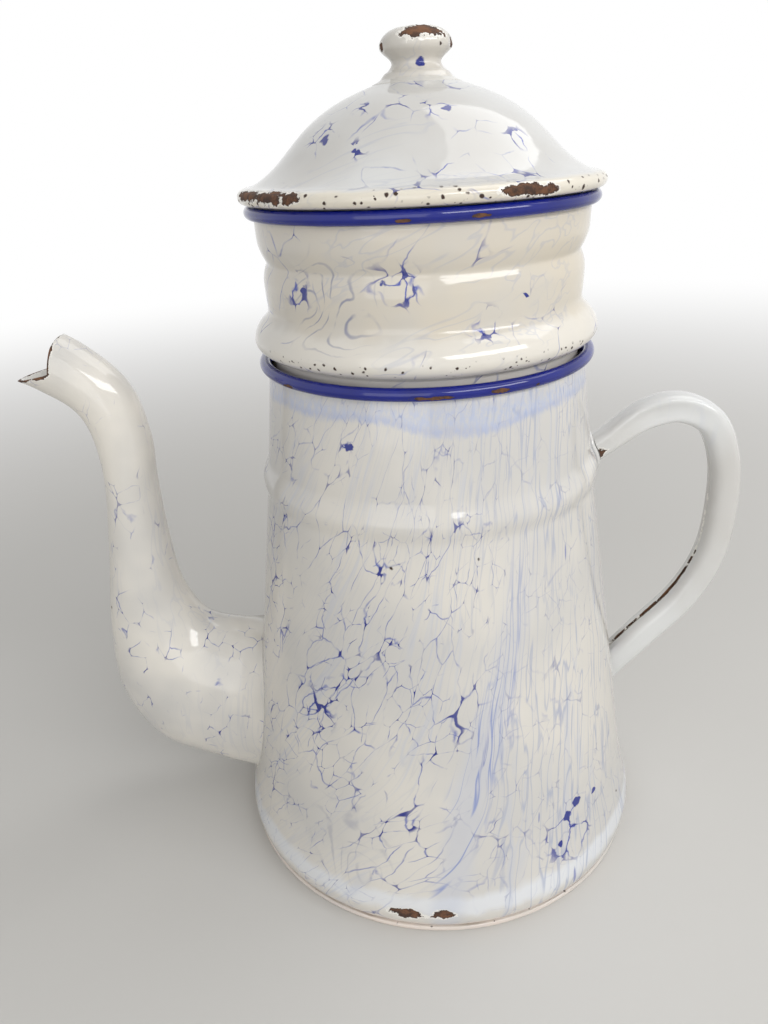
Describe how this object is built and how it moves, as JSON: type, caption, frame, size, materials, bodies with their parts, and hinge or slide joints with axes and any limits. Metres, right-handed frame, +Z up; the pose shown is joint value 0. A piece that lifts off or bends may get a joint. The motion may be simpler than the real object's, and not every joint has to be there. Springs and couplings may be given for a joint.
{
  "type": "drip coffee pot",
  "caption": "Enamelled conical drip coffee pot with swan-neck spout, folded sheet handle, lift-out filter chamber with perforated floor and spreader, and domed lid.",
  "frame": {"origin": "on the pot's axis, on its flat underside", "axes": "+Z up along the pot's axis, +X towards the handle, spout towards -X"},
  "size_m": [0.2259, 0.1392, 0.251],
  "materials": {
    "pot_body": "glossy vitreous enamel, white with blue marbling",
    "pot_rim_wire": "plain drawn wire",
    "pot_base": "glossy vitreous enamel, worn at the foot",
    "spout": "glossy vitreous enamel, white with sparse blue marbling",
    "handle": "glossy white vitreous enamel",
    "handle_lug": "glossy white vitreous enamel",
    "filter_chamber": "glossy vitreous enamel, white with blue marbling",
    "filter_rim_wire": "plain drawn wire",
    "filter_plate": "glossy white vitreous enamel",
    "spreader_disc": "dull pressed sheet",
    "spreader_stem": "dull drawn rod",
    "spreader_knob": "dull turned",
    "lid_dome": "glossy vitreous enamel, white with sparse blue marbling",
    "lid_rim_wire": "plain drawn wire",
    "lid_collar": "glossy white vitreous enamel",
    "lid_knob": "glossy vitreous enamel, worn bare on top",
    "lid_knob_rivet": "plain riveted steel"
  },
  "bodies": {
    "pot": {"pot_body": "pot_body", "pot_rim_wire": "pot_rim_wire", "pot_base": "pot_base", "spout_left": "spout", "spout_right": "spout", "spout_neck_left": "spout", "spout_neck_right": "spout", "handle": "handle", "handle_lug": "handle_lug"},
    "filter": {"filter_chamber": "filter_chamber", "filter_rim_wire": "filter_rim_wire", "filter_plate": "filter_plate"},
    "spreader": {"spreader_disc": "spreader_disc", "spreader_stem": "spreader_stem", "spreader_knob": "spreader_knob"},
    "lid": {"lid_dome": "lid_dome", "lid_rim_wire": "lid_rim_wire", "lid_collar": "lid_collar", "lid_knob": "lid_knob", "lid_knob_rivet": "lid_knob_rivet"}
  },
  "joints": [
    {"name": "filter_lift", "type": "slide", "parent": "pot", "child": "filter", "axis": [0, 0, 1], "range_m": [0, 0.045]},
    {"name": "spreader_lift", "type": "slide", "parent": "filter", "child": "spreader", "axis": [0, 0, 1], "range_m": [0, 0.035]},
    {"name": "lid_lift", "type": "slide", "parent": "spreader", "child": "lid", "axis": [0, 0, 1], "range_m": [0, 0.045]}
  ]
}
